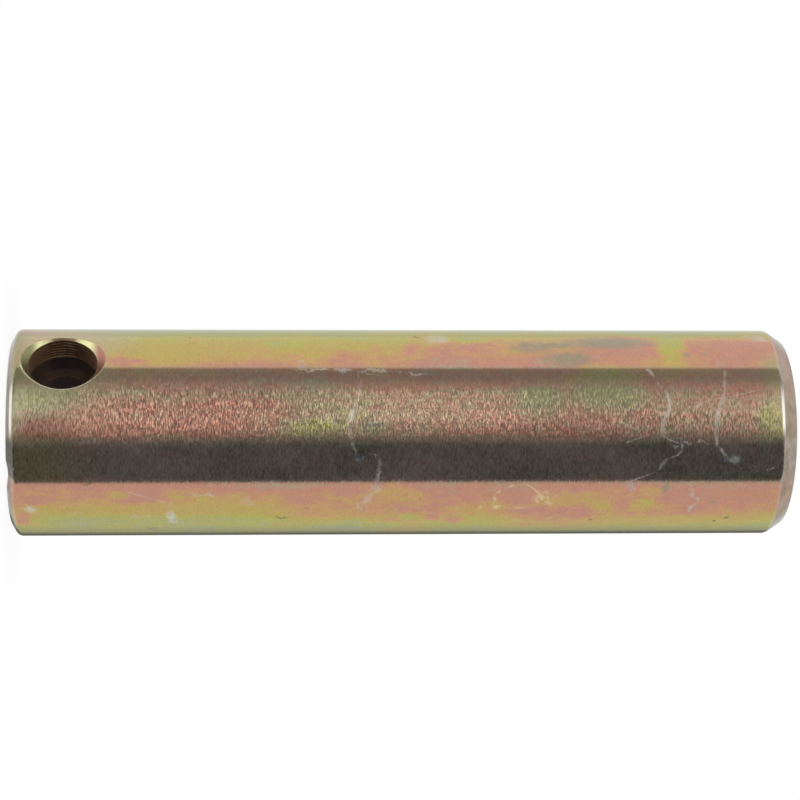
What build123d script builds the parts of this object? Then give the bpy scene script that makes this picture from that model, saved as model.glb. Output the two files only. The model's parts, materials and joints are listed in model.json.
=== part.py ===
from build123d import *
from math import radians, tan
import os

# A headless pivot pin, turned in one piece from 1 inch round steel bar. Its bevelled lead end is
# driven through two aligned bores, and a bolt through the cross hole near its tail end keeps it
# there. The tail face lies on Z = 0 with the pin's axis on +Z, and the cross hole runs along Y.
# All lengths are millimetres.

# Shank: 1 inch bar, 3 3/4 inches long
PIN_DIAMETER = 25.4
PIN_LENGTH = 95.25

# Lead end: a long cone that finds its way into the bores
LEAD_BEVEL_LENGTH = 1.95
LEAD_BEVEL_DEPTH = 1.35
LEAD_SHOULDER_RADIUS = 0.9
LEAD_RIM_RADIUS = 0.4

# Tail end: a short, steep edge break
TAIL_BEVEL_LENGTH = 0.85
TAIL_BEVEL_DEPTH = 1.55
TAIL_SHOULDER_RADIUS = 0.85
TAIL_RIM_RADIUS = 0.8

# Cross hole: a 21/64 inch drill clears a 5/16 inch bolt, and both mouths are countersunk
HOLE_DIAMETER = 8.33
HOLE_TO_TAIL = 6.6
COUNTERSINK_DEPTH = 1.0  # below the crest of the shank
COUNTERSINK_ANGLE = 82.0  # across both sides of the cone

PIN_RADIUS = PIN_DIAMETER / 2


def turned_blank():
    """The bar as it leaves the lathe: half of its long section, turned about its axis."""
    tail_centre = (0, 0)
    tail_rim = (PIN_RADIUS - TAIL_BEVEL_DEPTH, 0)
    tail_shoulder = (PIN_RADIUS, TAIL_BEVEL_LENGTH)
    lead_shoulder = (PIN_RADIUS, PIN_LENGTH - LEAD_BEVEL_LENGTH)
    lead_rim = (PIN_RADIUS - LEAD_BEVEL_DEPTH, PIN_LENGTH)
    lead_centre = (0, PIN_LENGTH)
    corner_radii = (TAIL_RIM_RADIUS, TAIL_SHOULDER_RADIUS, LEAD_SHOULDER_RADIUS, LEAD_RIM_RADIUS)
    with BuildPart() as blank:
        with BuildSketch(Plane.XZ):
            with BuildLine():
                FilletPolyline(
                    tail_centre, tail_rim, tail_shoulder, lead_shoulder, lead_rim, lead_centre,
                    radius=corner_radii,
                )
                Line(lead_centre, tail_centre)
            make_face()
        revolve(axis=Axis.Z)
    return blank.part


def drill_cross_hole(blank):
    """Drill through the axis along Y, then countersink the mouth on each side of the shank."""
    hole_radius = HOLE_DIAMETER / 2
    mouth_radius = hole_radius + COUNTERSINK_DEPTH * tan(radians(COUNTERSINK_ANGLE / 2))
    crests = [
        Plane(origin=(0, side * PIN_RADIUS, HOLE_TO_TAIL), z_dir=(0, side, 0)) for side in (-1, 1)
    ]
    with BuildPart() as drilled:
        add(blank)
        with Locations(*crests):
            CounterSinkHole(
                hole_radius, mouth_radius, depth=PIN_DIAMETER, counter_sink_angle=COUNTERSINK_ANGLE
            )
    return drilled.part


def pivot_pin():
    pin = drill_cross_hole(turned_blank())
    pin.label = "pivot_pin"
    return pin


os.makedirs("parts", exist_ok=True)
export_step(pivot_pin(), "parts/pivot_pin.step")
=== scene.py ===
import math

import bmesh
import bpy
from mathutils import Matrix, Vector
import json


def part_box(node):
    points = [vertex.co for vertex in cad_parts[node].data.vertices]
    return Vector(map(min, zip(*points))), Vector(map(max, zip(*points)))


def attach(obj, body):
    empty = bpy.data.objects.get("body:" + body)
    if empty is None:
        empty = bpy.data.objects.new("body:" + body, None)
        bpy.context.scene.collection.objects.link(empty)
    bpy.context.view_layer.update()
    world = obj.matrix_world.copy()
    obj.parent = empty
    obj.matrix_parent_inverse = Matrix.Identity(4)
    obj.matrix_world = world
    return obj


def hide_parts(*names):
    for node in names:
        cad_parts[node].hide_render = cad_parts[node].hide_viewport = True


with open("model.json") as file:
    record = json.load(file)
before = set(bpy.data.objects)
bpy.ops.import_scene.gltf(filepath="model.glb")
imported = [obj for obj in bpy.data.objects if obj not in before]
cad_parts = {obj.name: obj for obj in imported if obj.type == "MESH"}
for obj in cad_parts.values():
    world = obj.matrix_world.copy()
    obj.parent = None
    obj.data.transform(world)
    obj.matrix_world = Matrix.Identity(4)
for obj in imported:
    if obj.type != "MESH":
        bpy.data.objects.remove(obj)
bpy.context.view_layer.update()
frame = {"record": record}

# Pivot pin, the turned body: one length of round steel bar, faced at both ends, bevelled at the
# lead end (top) and edge-broken at the tail end (bottom), where a countersunk hole crosses it.
# Its tail edge has one small nick.
MM = 0.001
mounts = {mount["name"]: mount for mount in frame["record"]["mounts"]}
low_corner, high_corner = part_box("pivot_pin")
pin_radius = mounts["shank"]["dims"]["r_mm"] * MM
pin_length = high_corner.z - low_corner.z
LEAD_BEVEL_DEPTH = 1.35 * MM
LEAD_BEVEL_LENGTH = 1.95 * MM
TAIL_BEVEL_DEPTH = 1.55 * MM
TAIL_BEVEL_LENGTH = 0.85 * MM
RIM_SETBACK = 0.2 * MM
TAIL_SHOULDER_SETBACK = 0.5 * MM
LEAD_SHOULDER_SETBACK = 0.28 * MM
CORNER_FACETS = 5
TURNS = 384
SHANK_RINGS = 60
WELD = 0.001 * MM
VIEW_TURN = math.radians(44.7)  # from the cross hole's axis to the side that faces the camera
NICK_ANGLE = math.radians(-26)  # from the side that faces the camera
NICK_REACH = 2.1 * MM
NICK_DEPTH = 0.42 * MM

toward = Vector((math.sin(VIEW_TURN), -math.cos(VIEW_TURN), 0))
aside = Vector((-math.cos(VIEW_TURN), -math.sin(VIEW_TURN), 0))


def wire(bm, points):
    """A line of edges through points, to be turned or swung into a surface."""
    corners = [bm.verts.new(point) for point in points]
    for start, end in zip(corners, corners[1:]):
        bm.edges.new((start, end))
    return corners


def ease(bm, corner, setback):
    """Rounds one corner of a half section before it is turned."""
    bmesh.ops.bevel(
        bm, geom=[corner], offset=setback, offset_type="OFFSET", segments=CORNER_FACETS,
        profile=0.5, affect="VERTICES", material=-1,
    )


def turn(bm, axis, centre, steps):
    """Turns a half section all the way round its axis and closes the surface."""
    bmesh.ops.spin(
        bm, geom=bm.verts[:] + bm.edges[:], cent=centre, axis=axis, angle=math.tau, steps=steps,
        use_merge=True, use_duplicate=False,
    )
    bmesh.ops.remove_doubles(bm, verts=bm.verts[:], dist=WELD)
    bmesh.ops.recalc_face_normals(bm, faces=bm.faces[:])


def new_piece(bm, name):
    mesh = bpy.data.meshes.new(name)
    bm.to_mesh(mesh)
    bm.free()
    piece = bpy.data.objects.new(name, mesh)
    bpy.context.collection.objects.link(piece)
    return piece


body = bmesh.new()
half_section = wire(body, [
    (0, 0, 0),
    (pin_radius - TAIL_BEVEL_DEPTH, 0, 0),
    (pin_radius, 0, TAIL_BEVEL_LENGTH),
    (pin_radius, 0, pin_length - LEAD_BEVEL_LENGTH),
    (pin_radius - LEAD_BEVEL_DEPTH, 0, pin_length),
    (0, 0, pin_length),
])
setbacks = (RIM_SETBACK, TAIL_SHOULDER_SETBACK, LEAD_SHOULDER_SETBACK, RIM_SETBACK)
for corner, setback in zip(half_section[1:-1], setbacks):
    ease(body, corner, setback)
shank_line = max(body.edges, key=lambda edge: edge.calc_length())
bmesh.ops.subdivide_edges(body, edges=[shank_line], cuts=SHANK_RINGS)
turn(body, axis=(0, 0, 1), centre=(0, 0, 0), steps=TURNS)

nick_side = math.cos(NICK_ANGLE) * toward + math.sin(NICK_ANGLE) * aside
nick = (pin_radius - TAIL_BEVEL_DEPTH / 2) * nick_side
for vert in body.verts:
    if vert.co.z < TAIL_BEVEL_LENGTH:
        vert.co.z += NICK_DEPTH * (1 - min(1, (vert.co - nick).length / NICK_REACH))
pin = new_piece(body, "pivot_pin_plated")

# Cross hole: drilled straight through near the tail end and countersunk at both mouths. The drill
# left fine feed rings on the wall, strongest just inside each mouth.
hole_radius = mounts["cross_hole"]["dims"]["r_mm"] * MM
hole_height = mounts["cross_hole"]["pos_m"][2]
wall_half = mounts["cross_hole"]["dims"]["length_mm"] / 2 * MM
COUNTERSINK_SLOPE = math.tan(math.radians(41))  # half of the cone's 82 degrees
MOUTH_SHIFT = 0.2 * MM  # at the cutter's wide end, which ran a little towards the lead end
FEED = 0.43 * MM  # from one feed ring to the next
FEED_HEIGHT = 0.04 * MM
FEED_UNEVENNESS = 0.3  # how much less than the rest some rings bite
ROUGH_DEPTH = 2.8 * MM  # the rings are lower past this depth
SMOOTH_SHARE = 0.4
CUTTER_CLEARANCE = 1 * MM
CUTTER_TURNS = 160
WALL_RINGS = 360
SHARP_EDGE = math.radians(28)

drill = bmesh.new()
overrun = pin_radius - wall_half + CUTTER_CLEARANCE
cutter_tip = wall_half + overrun
wide_radius = hole_radius + overrun * COUNTERSINK_SLOPE
wire(drill, [
    (0, -cutter_tip, hole_height),
    (wide_radius, -cutter_tip, hole_height),
    (hole_radius, -wall_half, hole_height),
    (hole_radius, wall_half, hole_height),
    (wide_radius, cutter_tip, hole_height),
    (0, cutter_tip, hole_height),
])
wall_line = max(drill.edges, key=lambda edge: edge.calc_length())
wall = bmesh.ops.subdivide_edges(drill, edges=[wall_line], cuts=WALL_RINGS)
for ring in (part for part in wall["geom_inner"] if isinstance(part, bmesh.types.BMVert)):
    depth = wall_half - abs(ring.co.y)
    turn_number = depth // FEED
    bite = 1 - FEED_UNEVENNESS * (1 - math.sin(5 * turn_number))
    share = 1 if depth < ROUGH_DEPTH else SMOOTH_SHARE
    ring.co.x -= FEED_HEIGHT * (depth / FEED % 1) * bite * share
turn(drill, axis=(0, 1, 0), centre=(0, 0, hole_height), steps=CUTTER_TURNS)
for vert in drill.verts:
    if abs(vert.co.y) > wall_half + overrun / 2:
        vert.co.z += MOUTH_SHIFT
cutter = new_piece(drill, "cross_hole_drill")

bore = pin.modifiers.new("cross hole", "BOOLEAN")
bore.operation = "DIFFERENCE"
bore.solver = "EXACT"
bore.object = cutter
drilled = pin.evaluated_get(bpy.context.evaluated_depsgraph_get())
pin.data = bpy.data.meshes.new_from_object(drilled)
pin.modifiers.clear()
bpy.data.objects.remove(cutter)
pin.data.shade_smooth()
pin.data.set_sharp_from_angle(angle=SHARP_EDGE)


# Finish: bright zinc plate with a yellow chromate film. The film's colour runs from pink through
# orange and yellow to green as it gets thicker, over fine grinding lines that run round the pin.
# The bevels and faces are barer, and the hole keeps a brown film that the drill's rings break up.
class Value:
    """A socket of a material's nodes that works in sums as a number does."""

    def __init__(self, tree, socket=None):
        self.tree = tree
        self.socket = socket

    def node(self, kind, settings=None, inputs=None, output=0):
        """Adds a node: its settings first, then the values or links of its sockets."""
        made = self.tree.nodes.new(kind)
        for name, setting in (settings or {}).items():
            if name == "stops":
                lay_stops(made.color_ramp, setting)
            elif name == "curve":
                lay_curve(made.mapping, setting)
            else:
                setattr(made, name, setting)
        for name, value in (inputs or {}).items():
            if isinstance(value, Value):
                self.tree.links.new(value.socket, made.inputs[name])
            else:
                made.inputs[name].default_value = value
        return Value(self.tree, made.outputs[output] if made.outputs else None)

    def output(self, name):
        """Another output of the node that this socket is on."""
        return Value(self.tree, self.socket.node.outputs[name])

    def maths(self, operation, *others):
        inputs = dict(enumerate((self, *others)))
        return self.node("ShaderNodeMath", {"operation": operation}, inputs)

    def vector_maths(self, operation, *others, output=0):
        inputs = dict(enumerate((self, *others)))
        return self.node("ShaderNodeVectorMath", {"operation": operation}, inputs, output)

    def scaled(self, factor):
        """A vector made longer, or a colour made brighter, by a factor."""
        inputs = {0: self, "Scale": factor}
        return self.node("ShaderNodeVectorMath", {"operation": "SCALE"}, inputs)

    def __add__(self, other):
        return self.maths("ADD", other)

    __radd__ = __add__

    def __sub__(self, other):
        return self.maths("SUBTRACT", other)

    def __rsub__(self, other):
        return self.maths("MULTIPLY_ADD", -1, other)

    def __mul__(self, other):
        return self.maths("MULTIPLY", other)

    __rmul__ = __mul__

    def __truediv__(self, other):
        return self.maths("DIVIDE", other)

    def __mod__(self, other):
        return self.maths("FLOORED_MODULO", other)

    def __lt__(self, other):
        return self.maths("LESS_THAN", other)

    def __gt__(self, other):
        return self.maths("GREATER_THAN", other)

    def __abs__(self):
        return self.maths("ABSOLUTE")


def lay_stops(ramp, stops):
    while len(ramp.elements) < len(stops):
        ramp.elements.new(0.5)
    for element, (position, colour) in zip(ramp.elements, stops):
        element.position = position
        element.color = (*colour, 1)


def lay_curve(mapping, points):
    line = mapping.curves[0].points
    while len(line) < len(points):
        line.new(0.5, 0.5)
    for knot, spot in zip(line, points):
        knot.location = spot
    mapping.update()


def fade(value, none, full):
    """0 where the value is at none, 1 where it is at full, and smooth between."""
    inputs = {"Value": value, "From Min": none, "From Max": full}
    return value.node("ShaderNodeMapRange", {"interpolation_type": "SMOOTHSTEP"}, inputs)


def strip(value, low, low_edge, high_edge, high):
    """1 between two edges, and 0 below low and above high."""
    return fade(value, low, low_edge) * fade(value, high, high_edge)


def tint(mask, under, over):
    """The colour under, covered by the colour over where the mask is 1."""
    under, over = (part if isinstance(part, Value) else (*part, 1) for part in (under, over))
    return mask.node("ShaderNodeMix", {"data_type": "RGBA"}, {0: mask, 6: under, 7: over}, output=2)


def grain(place, stretch, scale, detail=2.0, roughness=0.5, distortion=0.0):
    """Noise from 0 to 1 whose features are scale long, stretched by a factor each way."""
    shrink = [1 / (scale * factor) for factor in stretch]
    inputs = {
        "Vector": place.vector_maths("MULTIPLY", shrink),
        "Scale": 1.0,
        "Detail": detail,
        "Roughness": roughness,
        "Distortion": distortion,
    }
    return place.node("ShaderNodeTexNoise", {}, inputs)


def new_material(name):
    material = bpy.data.materials.new(name)
    material.use_nodes = True
    material.node_tree.nodes.clear()
    return material, Value(material.node_tree)


def round_and_along(place):
    """Degrees round the pin from the side that faces the camera, and mm up from its tail face.

    The degrees are positive towards the cross hole's mouth and negative on the low side."""
    to_camera = (0, 0, math.pi / 2 - VIEW_TURN)
    turned = place.node("ShaderNodeMapping", {}, {"Vector": place, "Rotation": to_camera})
    parts = place.node("ShaderNodeSeparateXYZ", {}, {"Vector": turned})
    radians_round = parts.output("Y").maths("ARCTAN2", parts.output("X"))
    return radians_round * (-180 / math.pi), parts.output("Z") / MM


plated_steel, start = new_material("zinc_plated_steel")
place = start.node("ShaderNodeTexCoord", output="Object")
around, along = round_and_along(place)
parts = start.node("ShaderNodeSeparateXYZ", {}, {"Vector": place})
x, y, z = (parts.output(name) / MM for name in "XYZ")
from_axis = (x * x + y * y).maths("SQRT")
rise = z - hole_height / MM
from_hole = (x * x + rise * rise).maths("SQRT")
radius_mm = pin_radius / MM
half_length_mm = pin_length / MM / 2
hole_mm = hole_radius / MM

# Noise of the bath, of its flow and of the grinding, from coarse to fine.
cloud = grain(place, (1, 1, 1.8), 6 * MM, detail=3)
flows = grain(place, (1, 1, 1.8), 1.9 * MM, detail=4, roughness=0.6, distortion=0.6)
mottle = grain(place, (1.5, 1.5, 1), 1.1 * MM, detail=4, roughness=0.65)
wisps = grain(place, (1, 1, 3), 0.6 * MM, detail=5, roughness=0.65)
brush_marks = grain(place, (3.5, 3.5, 1), 0.17 * MM, detail=2, roughness=0.7)
grinding_lines = grain(place, (3.2, 3.2, 1), 0.17 * MM, detail=1)
flecks = grain(place, (4.5, 4.5, 1), 0.15 * MM, detail=1)

# The edges of patches and veins wander by a few tenths of a millimetre.
PATCH_WANDER = 1.8
PATCH_WANDER_DEGREES = 8
VEIN_WANDER = 0.9
ragged = grain(place, (1, 1, 1), 0.9 * MM, detail=4, roughness=0.6) - 0.5
ragged_across = grain(place, (1, 1, 1), 1.1 * MM, detail=4, roughness=0.6) - 0.5
spread = start.node("ShaderNodeCombineXYZ", {}, {
    "X": along + PATCH_WANDER * ragged,
    "Y": around + PATCH_WANDER_DEGREES * ragged_across,
})


def patches(spots, outside=1.5, inside=0.4):
    """1 in ragged patches at (along mm, around degrees), each with half its size both ways."""
    nearest = None
    for along_spot, around_spot, half_along, half_around in spots:
        shrink = (1 / half_along, 1 / half_around, 0)
        shift = (-along_spot / half_along, -around_spot / half_around, 0)
        offset = spread.vector_maths("MULTIPLY_ADD", shrink, shift)
        reach = offset.vector_maths("LENGTH", output="Value")
        nearest = nearest.maths("MINIMUM", reach) if nearest else reach
    return fade(nearest, outside, inside)


def vein(route, width):
    """1 on a run that crosses the pin, through points of (around degrees, along mm)."""
    first, last = route[0][0], route[-1][0]
    low = min(height for angle, height in route)
    span = max(height for angle, height in route) - low
    points = [((angle - first) / (last - first), (height - low) / span) for angle, height in route]
    share = (around - first) / (last - first)
    middle = low + span * start.node("ShaderNodeFloatCurve", {"curve": points}, {"Value": share})
    on_line = fade(abs(along + VEIN_WANDER * ragged - middle), width, 0.4 * width)
    between_ends = fade(abs(share - 0.5), 0.53, 0.49)
    return on_line * between_ends


def with_veins(mask, routes, width):
    for route in routes:
        mask = mask.maths("MAXIMUM", vein(route, width))
    return mask


# Patches of pink, gold and green film.
PINK = (
    (13.5, 42.5, 2.8, 3), (48.4, 53, 0.9, 5.5), (60, 43, 4.2, 3.2), (74.5, 48, 2.6, 8),
    (87.5, 50, 5.8, 10), (2.8, 75, 2.2, 5), (12, 3, 10, 6.5), (50.5, 12, 6, 11),
    (75, 4, 2.2, 5.5), (84, 14, 6.5, 11), (24, 6, 7, 9), (13.5, 14, 7.5, 6), (24, 15, 5, 4),
    (13.5, -29.5, 11, 3), (40, -32, 2.3, 4.2), (68, -31, 4.2, 3.2), (3, -39, 2.2, 3.5),
    (56, -36.5, 2.4, 6), (61.5, -37, 2.6, 6), (65, -50.5, 0.7, 3), (69, -51, 2.6, 6.5),
    (74, -43, 1.4, 5.5), (85.5, -36, 8, 9), (53.7, -56.5, 1.2, 3.8), (51, -53.5, 1, 3.8),
    (1.8, -55, 1, 6),
)
GOLD = (
    (22, 52, 8.5, 10), (31.5, 14.5, 2.7, 2.8), (66, 5, 10, 12), (21, 3.5, 1.2, 2),
    (19, -46, 15, 6), (81, -57, 9, 5), (67.7, -53.5, 0.9, 3.8), (77.6, -34, 1.6, 4.5),
    (75, -45, 4.5, 3.5), (13.2, -35.5, 1.3, 2.6), (23.8, -38, 1.4, 2.8), (20.3, -37, 0.9, 1.8),
)
GREEN = (
    (56, 64, 2.2, 5), (80.5, 58, 1.6, 14), (32, 58.5, 1.1, 3.6), (4.7, 22, 4.4, 8.5),
    (5, 34, 4.6, 6), (36.5, 3.5, 3.7, 5), (63.5, 19, 2.7, 11), (72, 24, 4.2, 14),
    (92, 8, 2.2, 12), (17, -55, 13, 5), (20, -60, 2.2, 5.5), (41.5, -58.5, 1.7, 3.8),
    (48.2, -54, 1, 2.5), (77.3, -41, 0.9, 2.6),
)

# Chalky crust in specks and runs, one pale ring mark, and stains that lie on the film.
CHALK = (
    (35.2, 40.5, 0.4, 2.8), (40, 36.5, 1.1, 1.2), (51.9, 64.5, 1.5, 5.5), (72.3, 61.5, 0.4, 1.2),
    (2.8, -46, 0.6, 3.2), (23.5, -35, 1.4, 1.2), (28.8, -40.5, 0.7, 2.5), (42.1, -14, 0.5, 2.2),
    (44.4, -29, 0.7, 1.8), (74.9, -30.5, 0.5, 3.6), (86.9, -14.5, 0.9, 2.7),
    (19.4, -50, 0.5, 9.5), (91.5, 67, 1.7, 5), (80.2, -7.5, 0.3, 0.8), (91.8, -20, 0.3, 0.9),
    (37.5, 36.8, 3, 0.7), (44, 36, 2.2, 0.7), (48.5, 34, 1.8, 0.7), (82.2, -5, 1.9, 0.5),
    (16.2, -51.5, 1.9, 0.5), (8.6, -49.3, 1.5, 0.5),
    (43.9, -31.5, 0.7, 2.5), (43.2, -38, 0.5, 3.2), (42.4, -45.5, 0.7, 3),
)
CHALK_RUNS = (
    ((-49, 42.4), (-38, 43), (-29, 44.4), (-24, 44.2), (-16, 44.4), (-11, 43.6)),
    ((-12, 41.8), (-6, 41.2), (-2, 41), (8, 41), (16, 41.5), (24, 42.2), (35, 42)),
    ((-27, 75), (-24, 76.5), (-20, 78.2), (-15, 78.8), (-8, 81), (-4, 79.6), (0, 78.6), (8, 78.8),
     (16, 79.5), (22, 79.1), (28, 78.2), (37, 77.2)),
    ((-5.2, 74.2), (-3.5, 75), (-1, 77)),
    ((-19, 88), (-14, 86.8), (-10, 85.8), (-4, 85), (3, 85), (10, 85.2), (17, 85.8), (25, 86.2),
     (36, 86.6)),
    ((14, 82.5), (18, 84.3), (21, 87.6), (26, 92)),
    ((-50, 82.5), (-46, 82.6), (-40, 83.3), (-37, 82.6), (-30, 82.3)),
    ((-41, 19), (-37, 16.5), (-33.5, 14.7)),
    ((33, 50), (34.5, 43), (35, 47), (36.5, 44)),
)
RING_SPOTS = ((59.2, -45, 3, 1.2), (64.5, -39, 1.2, 5))
RING_RUNS = (
    ((-43, 58.2), (-36, 58.7), (-31.5, 59.7), (-28.5, 61.5)),
    ((-37, 64.2), (-31, 62.8), (-28.5, 61.7)),
)
BLUE = (
    (42.1, -13.5, 0.6, 2.2), (87.2, -14.5, 1.1, 2.4), (2.9, -46, 0.5, 2.2), (19.7, -54, 0.4, 5),
)
BEIGE = ((6, 62, 8, 20),)
MOSS = ((2, 25, 11, 16), (64, 19, 3, 9), (71.5, 24, 4.5, 11), (92.5, 35, 1.6, 13))
OLIVE = (
    (72.5, 60, 5.7, 6.3), (79.1, -31.5, 0.45, 3.6), (85.3, -41, 0.4, 1.2), (82.2, 48.5, 0.4, 1.2),
    (84.5, 49, 0.4, 1.2), (17.2, -66, 0.8, 1.2), (63.3, 55.5, 2.6, 5.5), (67.5, 45, 2.9, 6),
    (66, 57, 4, 3), (43.6, 3.5, 1.2, 3.6),
)
DOTS = (
    (21.8, 66, 0.3, 1), (49.4, 66.5, 0.3, 1), (35.7, -45, 0.3, 1), (70.5, -57, 0.3, 1),
    (87.5, -55, 0.4, 1.1), (85.9, -58, 0.3, 1), (9.8, -28.2, 0.9, 0.5), (32.8, -53.5, 1, 0.6),
)

# The film is thin on the side that faces the camera, thicker towards both flanks and thin again
# at the back. The bath's noise varies it, and the patches bring it near to a thickness of theirs.
CHROMATE = (
    (0.0, (0.49, 0.45, 0.19)),
    (0.1, (0.46, 0.37, 0.24)),
    (0.24, (0.57, 0.28, 0.21)),
    (0.38, (0.58, 0.35, 0.17)),
    (0.52, (0.54, 0.41, 0.14)),
    (0.68, (0.48, 0.45, 0.13)),
    (0.84, (0.42, 0.43, 0.21)),
    (1.0, (0.44, 0.40, 0.30)),
)
FACING_THICKNESS = 0.15
NEAR_GAIN = 0.17
FLANK_GAIN = 0.39
BACK_LOSS = 0.4
CLOUD_SWING = 0.4
FLOW_SWING = 0.45
WISP_SWING = 0.4
PATCH_WISP_SWING = 0.35
PATCH_PULL = 0.85
away = abs(around)
outer = fade(away, 24, 34)
lead_half = fade(along, 35, 60)
hole_side = around > 0
flank_start = 38 + lead_half * (8 + 12 * hole_side)
flank_end = 66 + lead_half * (4 + 6 * hole_side)
thickness = FACING_THICKNESS + NEAR_GAIN * fade(away, 20, 38)
thickness = thickness + FLANK_GAIN * fade(away, flank_start, flank_end)
thickness = thickness - BACK_LOSS * fade(away, 95, 150)
thickness = thickness + CLOUD_SWING * (1 + outer) * (cloud - 0.5)
thickness = thickness + FLOW_SWING * outer * (flows - 0.5) + WISP_SWING * (wisps - 0.5)


def moved(thickness, mask, target):
    """The film's thickness, brought most of the way to a target inside a mask."""
    wispy_target = target + PATCH_WISP_SWING * (wisps - 0.5)
    return thickness + PATCH_PULL * mask * (wispy_target - thickness)


green_thickness = 0.8 * outer
gold_thickness = 0.2 + 0.33 * outer
pink_thickness = 0.24 - 0.09 * (1 - outer) * fade(along, 30, 40)
thickness = moved(thickness, patches(GREEN), green_thickness)
thickness = moved(thickness, patches(GOLD), gold_thickness)
thickness = moved(thickness, patches(PINK), pink_thickness)
film = start.node("ShaderNodeValToRGB", {"stops": CHROMATE}, {0: thickness})

# Stains on the film, laid one over the other. The low band is the strip just below the middle of
# the side that faces the camera, where the shank mirrors the dark cloth.
DULL_FILM = (0.42, 0.38, 0.30)
CHALK_CRUST = (0.58, 0.60, 0.58)
RING_MARK = (0.80, 0.74, 0.42)
BLUE_TINGE = (0.75, 0.85, 1.0)
OLIVE_STAIN = (0.33, 0.30, 0.21)
BEIGE_STAIN = (0.52, 0.42, 0.33)
MOSS_STAIN = (0.43, 0.41, 0.24)
TAIL_END_DARKENING = (0.33, 0.32, 0.20)
DOT_STAIN = (0.14, 0.08, 0.05)
LOW_BAND_FILM = (0.47, 0.45, 0.42)
LOW_BAND_TAIL_FILM = (0.42, 0.44, 0.24)
CHALK_WIDTH = 0.33
RING_WIDTH = 0.3
low_band = strip(around, -27.5, -25, -6, 0)
dull = strip(around, -29.5, -26.5, -6, -2) + strip(around, 25, 30, 36, 42) * fade(along, 2, 8)
crust = with_veins(patches(CHALK), CHALK_RUNS, CHALK_WIDTH) * fade(mottle, 0.33, 0.58)
ring_mark = with_veins(patches(RING_SPOTS), RING_RUNS, RING_WIDTH) * fade(mottle, 0.45, 0.6)
film = tint(0.5 * dull * fade(mottle, 0.2, 0.6), film, DULL_FILM)
film = tint(0.4 * crust, film, CHALK_CRUST)
film = tint(0.5 * ring_mark, film, RING_MARK)
film = tint((0.25 + 0.3 * low_band) * patches(BLUE), film, BLUE_TINGE)
film = tint(0.85 * patches(OLIVE) * fade(wisps, 0.2, 0.5), film, OLIVE_STAIN)
film = tint(0.6 * patches(BEIGE) * fade(around, 40, 48), film, BEIGE_STAIN)
film = tint(0.7 * patches(MOSS), film, MOSS_STAIN)
# darker olive near the tail end on the facing side
film = tint(0.6 * fade(along, 2.8, 1.2) * fade(around, -12, 10), film, TAIL_END_DARKENING)
film = tint(0.6 * patches(DOTS, outside=1.25, inside=0.3), film, DOT_STAIN)
film = tint(0.4 * low_band * fade(along, 4, 12), film, LOW_BAND_FILM)
film = tint(0.5 * low_band * fade(along, 12, 4), film, LOW_BAND_TAIL_FILM)

# The grinding makes the film brighter and darker in fine marks, most of all on the facing side.
# Painted glints fleck the mirrored soft light, with one painted highlight run at mid length and
# painted shade runs towards both ends.
BRUSH_SWING = 0.35
BRUSH_SWING_LOW_BAND = 1.35
MOTTLE_SWING = 0.15
MOTTLE_SWING_LOW_BAND = 0.6
CLOUD_SWING_LOW_BAND = 1.3
PAINTED_GLINT_SWING = 0.7
PAINTED_HIGHLIGHT_GAIN = 0.22
PAINTED_SHADE_RUN_LOSS = 0.18
PAINTED_SHADE_END_LOSS = 0.33
# painted glints: bright and dark flecks in the band where the soft light is mirrored
painted_glints = strip(around, -5, 2, 22, 29) * (0.5 + 0.5 * fade(along, 5, 17))
painted_glints = painted_glints * (1 - 0.7 * fade(along, 56, 72))
# painted highlight run at mid length, and painted shade runs towards the lead end and the tail end
painted_highlight_run = fade(abs(along - 50), 18, 8) * strip(around, 4, 9, 20, 30)
painted_shade_run = fade(along, 56, 64) * strip(around, -5, 0, 7, 12)
painted_shade_end = fade(along, 10, 4) * strip(around, -6, -1, 6, 12)
marks_and_painted_light = (brush_marks - 0.5) * (BRUSH_SWING + BRUSH_SWING_LOW_BAND * low_band)
marks_and_painted_light = marks_and_painted_light + (mottle - 0.5) * (MOTTLE_SWING + MOTTLE_SWING_LOW_BAND * low_band)
marks_and_painted_light = marks_and_painted_light + (cloud - 0.5) * CLOUD_SWING_LOW_BAND * low_band
marks_and_painted_light = marks_and_painted_light + PAINTED_GLINT_SWING * painted_glints * (fade(flecks, 0.3, 0.7) - 0.5)
marks_and_painted_light = marks_and_painted_light + PAINTED_HIGHLIGHT_GAIN * painted_highlight_run - PAINTED_SHADE_RUN_LOSS * painted_shade_run - PAINTED_SHADE_END_LOSS * painted_shade_end
film = film.scaled(1 + marks_and_painted_light)

# Both bevels and faces are barer metal. The shoulders between them and the shank get a faint line
# worn bright all round where the pin rubbed, under a painted highlight on the side that mirrors the
# soft light, and the tail edge gets painted shade in the low band.
TAIL_LINE = 0.66  # mm along the pin, at the inner end of the tail bevel
LEAD_LINE = 93.32  # mm along the pin, at the inner end of the lead bevel
FACE_SKIN = 0.01  # mm within which a point is on a face
BEVEL_BARENESS = 0.75
FACE_BARENESS = 0.96
BARE_DARK = (0.25, 0.20, 0.15)
BARE_PALE = (0.37, 0.32, 0.27)
BARE_PINK = (0.44, 0.34, 0.30)
EDGE_SHADE = (0.08, 0.08, 0.07)
RUBBED_HIGHLIGHT_ZINC = (0.95, 0.92, 0.86)
HIGHLIGHT_SIDE = 13.5  # degrees round the pin
on_tail_bevel = along < TAIL_LINE
on_bevel = on_tail_bevel.maths("MAXIMUM", along > LEAD_LINE)
on_face = abs(along - half_length_mm) > half_length_mm - FACE_SKIN
bare = tint(fade(mottle, 0.3, 0.7), BARE_DARK, BARE_PALE)
bare = tint(0.6 * fade(around, 15, 50) * (1 - on_face), bare, BARE_PINK)
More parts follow.
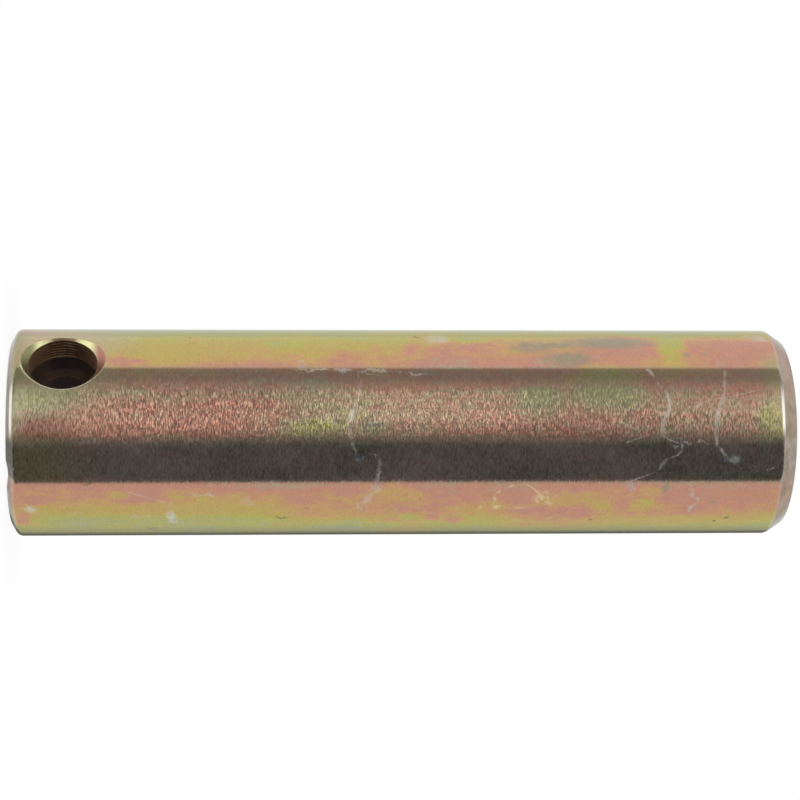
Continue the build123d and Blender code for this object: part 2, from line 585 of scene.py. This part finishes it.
# painted shade: the tail bevel goes near black along the low band
bare = tint(0.9 * low_band * on_tail_bevel * (1 - on_face), bare, EDGE_SHADE)
bareness = BEVEL_BARENESS * on_bevel + (FACE_BARENESS - BEVEL_BARENESS) * on_face
film = tint(bareness, film, bare)
to_shoulder = abs(along - TAIL_LINE).maths("MINIMUM", abs(along - LEAD_LINE))
# painted highlight on the shoulders where they mirror the soft light, over a faint worn line all
# round
rub_and_highlight = fade(to_shoulder, 0.24, 0.1) * (0.1 + 0.8 * fade(abs(around - HIGHLIGHT_SIDE), 18, 8))
film = tint(rub_and_highlight, film, RUBBED_HIGHLIGHT_ZINC)
# painted shade on the tail shoulder along the low band
film = tint(0.85 * fade(along, 1.2, 0.95) * low_band, film, EDGE_SHADE)

# Inside the hole: a brown film with painted light on the wall's lead and tail sides, a painted
# highlight along each feed ring, painted shade past the rough depth, and a lighter band further in.
WALL_FILM = (0.27, 0.18, 0.13)
WALL_FLANK_PAINTED_LIGHT = (0.90, 0.64, 0.45)
FEED_RING_HIGHLIGHT = (1.0, 0.78, 0.48)
DEEP_PAINTED_SHADE = (0.12, 0.09, 0.10)
DEEP_FLANK_PAINTED_LIGHT = (0.46, 0.37, 0.31)
DEEP_BAND_FILM = (0.36, 0.27, 0.20)
SHANK_SKIN = 0.03  # mm below the shank's surface, past which a point is in the hole
WALL_SKIN = 0.004  # mm off the wall, within which a point is on it
CONE_REACH = 1.2  # mm that the cone spreads past the wall at most
WAVE_HEIGHT = 0.5  # mm by which the rings' colour wanders
WAVE_LENGTH = 2 * MM
inside = (from_axis < radius_mm - SHANK_SKIN) * (from_hole < hole_mm + CONE_REACH)
on_wall = inside * (from_hole < hole_mm + WALL_SKIN)
wall_depth = wall_half / MM - abs(y)
wavy_depth = wall_depth + WAVE_HEIGHT * (grain(place, (1, 1, 1), WAVE_LENGTH) - 0.5)
ring_crest = abs(wavy_depth / (FEED / MM) % 1 - 0.5)
# painted highlight along the edge of each feed ring
feed = fade(ring_crest, 0.25, 0.45) * fade(mottle, 0.35, 0.6)
deep = fade(wavy_depth, ROUGH_DEPTH / MM - 0.1, ROUGH_DEPTH / MM + 0.2)
# a lighter band further in
deep_band = strip(wavy_depth, 4.6, 5, 6.1, 6.5)
# painted light on the wall's lead and tail sides
flank = fade(abs(rise), 1.2, 4.1)
wall_film = tint(feed, tint(flank, WALL_FILM, WALL_FLANK_PAINTED_LIGHT), FEED_RING_HIGHLIGHT)
# painted shade past the rough depth, lighter in one band further in
deep_painted_shade_film = tint(deep_band * (0.3 + 0.7 * feed), DEEP_PAINTED_SHADE, DEEP_BAND_FILM)
wall_film = tint(deep, wall_film, tint(flank, deep_painted_shade_film, DEEP_FLANK_PAINTED_LIGHT))

# The countersink's cone: olive towards the tail end, a pale yellow painted highlight, brown at its
# middle and red brown towards the lead end.
CONE_TAIL_FILM = (0.30, 0.29, 0.15)
CONE_HIGHLIGHT_FILM = (0.96, 0.96, 0.50)
CONE_LEAD_FILM = (0.52, 0.25, 0.20)
CONE_MIDDLE_FILM = (0.42, 0.30, 0.16)
# the pale yellow is a painted highlight
cone_film = tint(fade(rise, -4, -2.7), CONE_TAIL_FILM, CONE_HIGHLIGHT_FILM)
cone_film = tint(fade(rise, 3, 4.4), cone_film, CONE_LEAD_FILM)
cone_film = tint(fade(abs(rise), 2, 1), cone_film, CONE_MIDDLE_FILM)
hole_film = tint(on_wall, cone_film, wall_film)

# The mouth's rim gets a painted highlight: a bright line along its half nearer to the facing side.
RIM_HIGHLIGHT = (0.80, 0.72, 0.56)
RIM_REACH = 1.5
off_cone = from_hole - hole_mm + wall_depth * COUNTERSINK_SLOPE
off_rim = off_cone.maths("MAXIMUM", radius_mm - from_axis)
rim = fade(off_rim, 0.16, 0.04) * (from_hole < hole_mm + RIM_REACH) * fade(x, 0.2, 1.5)
# painted highlight on the rim
film = tint(0.6 * rim, film, RIM_HIGHLIGHT)

# The grinding lines tip the surface up and down the pin, and barely round it. They are fainter
# near both ends. The faces have fine turned rings, and the rim leans into the hole.
GRIND = 0.3
TAIL_END_GRIND = 0.3
LEAD_END_LOSS = 0.4
LEAD_RUN_LOSS = 0.45
SWAY = 0.005
RIM_LEAN = 0.8
FACE_RINGS = 0.2
FACE_RING_WIDTH = 0.25 * MM
strength = TAIL_END_GRIND + (1 - TAIL_END_GRIND) * fade(along, 5, 19)
strength = strength - LEAD_END_LOSS * fade(along, 72, 84)
strength = strength * (1 - LEAD_RUN_LOSS * fade(along, 54, 66) * fade(around, 8, 15))
steep = fade(grinding_lines, 0.25, 0.75) - 0.5
sway = SWAY * steep
grind = GRIND * (1 - on_bevel) * strength * steep
lean = start.node("ShaderNodeCombineXYZ", {}, {"X": sway, "Y": sway, "Z": grind})
inward = start.node("ShaderNodeCombineXYZ", {}, {"X": -1 * x, "Z": -1 * rise})
inward = inward.vector_maths("NORMALIZE").scaled(RIM_LEAN * rim)
across_face = start.node("ShaderNodeCombineXYZ", {}, {"X": from_axis * MM})
turned_rings = FACE_RINGS * on_face * (grain(across_face, (1, 1, 1), FACE_RING_WIDTH) - 0.5)
outward = start.node("ShaderNodeCombineXYZ", {}, {"X": x, "Y": y})
outward = outward.vector_maths("NORMALIZE").scaled(turned_rings)
facing = start.node("ShaderNodeNewGeometry", output="Normal")
tilted = facing.vector_maths("ADD", lean).vector_maths("ADD", inward)
tilted = tilted.vector_maths("ADD", outward).vector_maths("NORMALIZE")

shank = start.node("ShaderNodeBsdfPrincipled", {}, {
    "Base Color": film,
    "Metallic": 1 - 0.15 * crust,
    "Roughness": 0.15 + 0.2 * crust,
    "Anisotropic": 0.7,
    "Anisotropic Rotation": 0.25,
    "Normal": tilted,
})
bored = start.node("ShaderNodeBsdfPrincipled", {}, {
    "Base Color": hole_film,
    "Metallic": 1.0,
    "Roughness": 0.35 + 0.1 * on_wall,
})
metal = start.node("ShaderNodeMixShader", {}, {0: inside, 1: shank, 2: bored})
start.node("ShaderNodeOutputMaterial", {}, {"Surface": metal})

pin.data.materials.clear()
pin.data.materials.append(plated_steel)
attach(pin, "root")
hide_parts("pivot_pin")

# Floor: a small pale disc under the standing pin, lit and shaded only close to it, so that it runs
# out into the white surround.
FLOOR_RADIUS = 26 * MM
FLOOR_GAP = 0.05 * MM  # keeps the disc's face and the pin's end face apart
FLOOR_SEGMENTS = 96
FLOOR_WHITE = (1, 1, 1, 1)
FLOOR_MATT = (0.9, 0.9, 0.9, 1)
FLOOR_SHADING = 0.08
disc = bmesh.new()
lowered = Matrix.Translation((0, 0, -FLOOR_GAP))
bmesh.ops.create_circle(
    disc, cap_ends=True, segments=FLOOR_SEGMENTS, radius=FLOOR_RADIUS, matrix=lowered
)
floor = new_piece(disc, "floor")
pale, start = new_material("pale_floor")
spot = start.node("ShaderNodeTexCoord", output="Object")
from_middle = spot.vector_maths("LENGTH", output="Value")
shaded = FLOOR_SHADING * fade(from_middle, FLOOR_RADIUS, 0.5 * FLOOR_RADIUS)
bright = start.node("ShaderNodeEmission", {}, {"Color": FLOOR_WHITE})
matt = start.node("ShaderNodeBsdfDiffuse", {}, {"Color": FLOOR_MATT})
surface = start.node("ShaderNodeMixShader", {}, {0: shaded, 1: bright, 2: matt})
start.node("ShaderNodeOutputMaterial", {}, {"Surface": surface})
floor.data.materials.append(pale)
floor.visible_glossy = False

# Light: a white tent all round. A dark cloth hangs on the camera's side between white sides, with
# a soft light over half of it, and a grey cloth hangs behind the pin. The shank mirrors them as
# its dark and bright bands.
world = bpy.data.worlds.new("white_tent")
bpy.context.scene.world = world
world.use_nodes = True
world.node_tree.nodes["Background"].inputs["Color"].default_value = (1, 1, 1, 1)
world.node_tree.nodes["Background"].inputs["Strength"].default_value = 1.0

middle = Vector((0, 0, pin_length / 2))
CLOTH_DISTANCE = 1.2
CLOTH_HALF_HEIGHT = 1.8
CLOTH_STEPS = 96
DARK_CLOTH_ENDS = (-124, 128)  # degrees round the pin from the camera's side
GREY_CLOTH_ENDS = (128, 236)


def cloth(name, first, last):
    """An upright cloth that hangs round the pin's axis between two angles.

    Returns the start of its material, with the degrees round the pin and the height in mm."""
    bm = bmesh.new()
    reach = toward * CLOTH_DISTANCE + middle
    tall = Vector((0, 0, CLOTH_HALF_HEIGHT))
    wire(bm, [reach - tall, reach + tall])
    swing = Matrix.Rotation(-math.radians(first), 3, "Z")
    bmesh.ops.rotate(bm, verts=bm.verts[:], cent=(0, 0, 0), matrix=swing)
    bmesh.ops.spin(
        bm, geom=bm.verts[:] + bm.edges[:], cent=(0, 0, 0), axis=(0, 0, 1),
        angle=math.radians(first - last), steps=CLOTH_STEPS,
    )
    piece = new_piece(bm, name)
    piece.visible_camera = False
    piece.visible_diffuse = False
    piece.visible_shadow = False
    material, start = new_material(name)
    piece.data.materials.append(material)
    angle, height = round_and_along(start.node("ShaderNodeTexCoord", output="Object"))
    return start, angle, height


def light_cloth(start, brightness):
    """Lights a cloth in a grey whose brightness runs from 0 to 1."""
    lit = start.node("ShaderNodeEmission", {}, {"Color": brightness})
    start.node("ShaderNodeOutputMaterial", {}, {"Surface": lit})


# The dark cloth: its soft light is dimmer along the level middle, and the white sides bow inwards
# above and below.
DARK_CLOTH_GREY = 0.126
DARK_CLOTH_LEVEL = 134  # mm up, where the middle of the shank mirrors it to the camera
SIDE_BOW = 0.2
MOST_CLIMB_SQUARED = 0.4
LIT_HALF_GAIN = 0.25
OFF_LEVEL_GAIN = 0.1
OFF_LEVEL_NEAR_GAIN = 0.65
SOFT_RUN_GAIN = 0.04
DIM_SIDE_LOSS = 0.07
HOLE_SIDE_WHITE = 0.95
LOW_SIDE_WHITE = 0.855
start, angle, height = cloth("dark_cloth", *DARK_CLOTH_ENDS)
climb = (height - DARK_CLOTH_LEVEL) / (CLOTH_DISTANCE / MM)
bowed = angle * (1 - SIDE_BOW * (climb * climb).maths("MINIMUM", MOST_CLIMB_SQUARED))
lit_half = fade(angle, -16, 12)
off_level = fade(abs(climb), 0.05, 0.3)
streaks = lit_half * off_level * (OFF_LEVEL_GAIN + OFF_LEVEL_NEAR_GAIN * fade(angle, 66, 26))
glow = DARK_CLOTH_GREY + LIT_HALF_GAIN * lit_half + streaks
glow = glow + SOFT_RUN_GAIN * fade(abs(angle - 46), 18, 6) - DIM_SIDE_LOSS * fade(angle, 50, 66)
white = HOLE_SIDE_WHITE * fade(bowed, 75.9, 76.9) + LOW_SIDE_WHITE * fade(bowed, -55.4, -57.2)
light_cloth(start, glow * (1 - fade(white, 0, 0.88)) + white)

# The grey cloth: darker towards the lower side near its level middle, with one soft dark line.
GREY_CLOTH_LOSS = 0.2
LOW_SIDE_LOSS = 0.2
DARK_LINE_LOSS = 0.45
DARK_LINE_ANGLE = -164
start, angle, height = cloth("grey_cloth", *GREY_CLOTH_ENDS)
low_side = fade(angle, 10, -10)
dark_line = fade(abs(angle - DARK_LINE_ANGLE), 24, 4)
near_level = fade(abs(height) / (CLOTH_DISTANCE / MM), 0.5, 0.3)
loss = GREY_CLOTH_LOSS * fade(abs(angle), 126, 142)
loss = loss + low_side * near_level * (LOW_SIDE_LOSS + DARK_LINE_LOSS * dark_line)
light_cloth(start, 1 - loss)

# Camera: a long lens close to the pin, a little below its middle, laid on its side so that the
# standing pin fills the frame from left to right with the tail end on the left.
LENS = 111.4
NEAR_CLIP = 10 * MM
CAMERA_DISTANCE = 308 * MM
CAMERA_YAW = math.radians(4.13)
CAMERA_ASIDE = -3.99 * MM
CAMERA_ALONG = -0.11 * MM
upward = Vector((0, 0, 1))
across = math.cos(CAMERA_YAW) * upward + math.sin(CAMERA_YAW) * toward
ahead = math.sin(CAMERA_YAW) * upward - math.cos(CAMERA_YAW) * toward
lens = bpy.data.cameras.new("camera")
lens.lens = LENS
lens.clip_start = NEAR_CLIP
camera = bpy.data.objects.new("camera", lens)
bpy.context.collection.objects.link(camera)
camera.location = (
    middle - CAMERA_ALONG * across - CAMERA_DISTANCE * ahead - CAMERA_ASIDE * aside
)
camera.rotation_mode = "QUATERNION"
camera.rotation_quaternion = Matrix((across, aside, -ahead)).transposed().to_quaternion()
bpy.context.scene.camera = camera

bpy.context.scene.view_settings.view_transform = "Standard"
